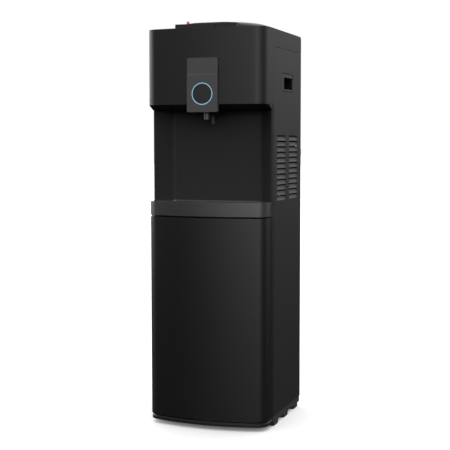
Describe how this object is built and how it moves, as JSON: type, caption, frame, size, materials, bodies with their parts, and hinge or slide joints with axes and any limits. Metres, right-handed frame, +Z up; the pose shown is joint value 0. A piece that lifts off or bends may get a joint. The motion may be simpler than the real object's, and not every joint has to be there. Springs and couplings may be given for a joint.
{
  "type": "floor-standing water dispenser",
  "caption": "Floor-standing bottom-loading water dispenser: hinged bottle cabinet, alcove with drip tray, head with faceplate, light ring, two spouts, top push-buttons and a child lock.",
  "frame": {"origin": "middle of the whole object's footprint, on the floor under the feet", "axes": "+Z up, the door and the outlets face -Y, +X to the right seen from the front's own side"},
  "size_m": [0.325, 0.369, 1.0449],
  "materials": {
    "satin_black_plastic": "satin moulded",
    "door_black_plastic": "fine satin moulded",
    "alcove_black_plastic": "satin moulded",
    "black_coated_steel": "satin powder coat",
    "plate_grey_plastic": "satin moulded",
    "tray_grey_plastic": "satin moulded",
    "rail_grey_plastic": "moulded",
    "spout_grey_plastic": "smooth moulded",
    "grille_metal": "satin",
    "stainless": "brushed",
    "galvanised_sheet": "galvanised",
    "foam": "moulded foam",
    "black_rubber": "matte",
    "compressor_paint": "semi-gloss enamel",
    "coil_paint": "satin enamel",
    "grey_pipe": "satin paint over copper",
    "clear_tube": "milky silicone",
    "white_plastic": "smooth moulded",
    "red_plastic": "smooth moulded",
    "green_plastic": "smooth moulded",
    "ring_light": "translucent light guide, lit",
    "disc_black": "smooth moulded",
    "board_green": "solder mask",
    "valve_white": "moulded",
    "pump_black": "moulded",
    "clip_grey": "moulded",
    "pad_grey": "silicone",
    "magnet_dark": "sintered"
  },
  "bodies": {
    "cabinet": {"base_frame": "satin_black_plastic", "left_side_rail": "rail_grey_plastic", "right_side_rail": "rail_grey_plastic", "left_side_panel": "black_coated_steel", "right_side_panel": "black_coated_steel", "left_handle_pocket": "satin_black_plastic", "right_handle_pocket": "satin_black_plastic", "rear_panel": "black_coated_steel", "front_frame": "satin_black_plastic", "alcove_liner": "alcove_black_plastic", "head_shell": "satin_black_plastic", "head_floor": "satin_black_plastic", "top_cover": "satin_black_plastic", "button_deck": "satin_black_plastic", "faceplate_upper": "plate_grey_plastic", "faceplate_lower": "plate_grey_plastic", "light_ring": "ring_light", "ring_disc": "disc_black", "control_board": "board_green", "nozzle_block": "satin_black_plastic", "front_spout": "spout_grey_plastic", "rear_spout": "rail_grey_plastic", "valve_block": "valve_white", "tray_shelf": "satin_black_plastic", "catch_plate": "stainless", "hinge_pins": "stainless", "hinge_brackets": "galvanised_sheet", "bottle_floor": "alcove_black_plastic", "mid_shelf": "galvanised_sheet", "tank_shelf": "galvanised_sheet", "compressor": "compressor_paint", "compressor_mounts": "black_rubber", "condenser": "coil_paint", "refrigerant_loop": "grey_pipe", "cold_tank": "stainless", "cold_tank_jacket": "foam", "hot_tank": "stainless", "hot_tank_jacket": "foam", "water_pump": "pump_black", "suction_hose": "clear_tube", "probe_cap": "white_plastic", "probe_wand": "clear_tube", "probe_clip": "clip_grey", "button_pads": "pad_grey", "switch_housing": "black_rubber", "power_inlet": "black_rubber", "water_tubes": "clear_tube", "rear_screws": "stainless"},
    "door": {"door_panel": "door_black_plastic", "door_liner": "alcove_black_plastic", "door_magnet": "magnet_dark"},
    "drip_tray": {"drip_tray": "tray_grey_plastic"},
    "drip_grille": {"drip_grille": "grille_metal"},
    "hot_button": {"hot_button": "satin_black_plastic"},
    "room_button": {"room_button": "satin_black_plastic"},
    "cold_button": {"cold_button": "satin_black_plastic"},
    "child_lock": {"child_lock": "red_plastic"},
    "heat_switch": {"heat_switch": "red_plastic"},
    "chill_switch": {"chill_switch": "green_plastic"},
    "drain_cap": {"drain_cap": "black_rubber"}
  },
  "joints": [
    {"name": "door_hinge", "type": "hinge", "parent": "cabinet", "child": "door", "pos_m": [-0.152, -0.137, 0.2855], "axis": [0, 0, -1], "range_deg": [0, 110]},
    {"name": "tray_slide", "type": "slide", "parent": "cabinet", "child": "drip_tray", "axis": [0, -1, 0], "range_m": [0, 0.105]},
    {"name": "grille_lift", "type": "slide", "parent": "drip_tray", "child": "drip_grille", "axis": [0, 0, 1], "range_m": [0, 0.06]},
    {"name": "hot_press", "type": "slide", "parent": "cabinet", "child": "hot_button", "axis": [0, 0, -1], "range_m": [0, 0.004], "stiffness_N_per_m": 500, "springref_m": -0.002},
    {"name": "room_press", "type": "slide", "parent": "cabinet", "child": "room_button", "axis": [0, 0, -1], "range_m": [0, 0.004], "stiffness_N_per_m": 500, "springref_m": -0.002},
    {"name": "cold_press", "type": "slide", "parent": "cabinet", "child": "cold_button", "axis": [0, 0, -1], "range_m": [0, 0.004], "stiffness_N_per_m": 500, "springref_m": -0.002},
    {"name": "lock_slide", "type": "slide", "parent": "hot_button", "child": "child_lock", "axis": [0, 1, 0], "range_m": [0, 0.004], "stiffness_N_per_m": 100, "springref_m": -0.001},
    {"name": "heat_rocker", "type": "hinge", "parent": "cabinet", "child": "heat_switch", "pos_m": [0.084, 0.138, 0.93], "axis": [1, 0, 0], "range_deg": [0, 12]},
    {"name": "chill_rocker", "type": "hinge", "parent": "cabinet", "child": "chill_switch", "pos_m": [0.112, 0.138, 0.93], "axis": [1, 0, 0], "range_deg": [0, 12]},
    {"name": "drain_turn", "type": "hinge", "parent": "cabinet", "child": "drain_cap", "pos_m": [0.078, 0.145, 0.8], "axis": [0, 1, 0], "range_deg": [0, 270]}
  ]
}
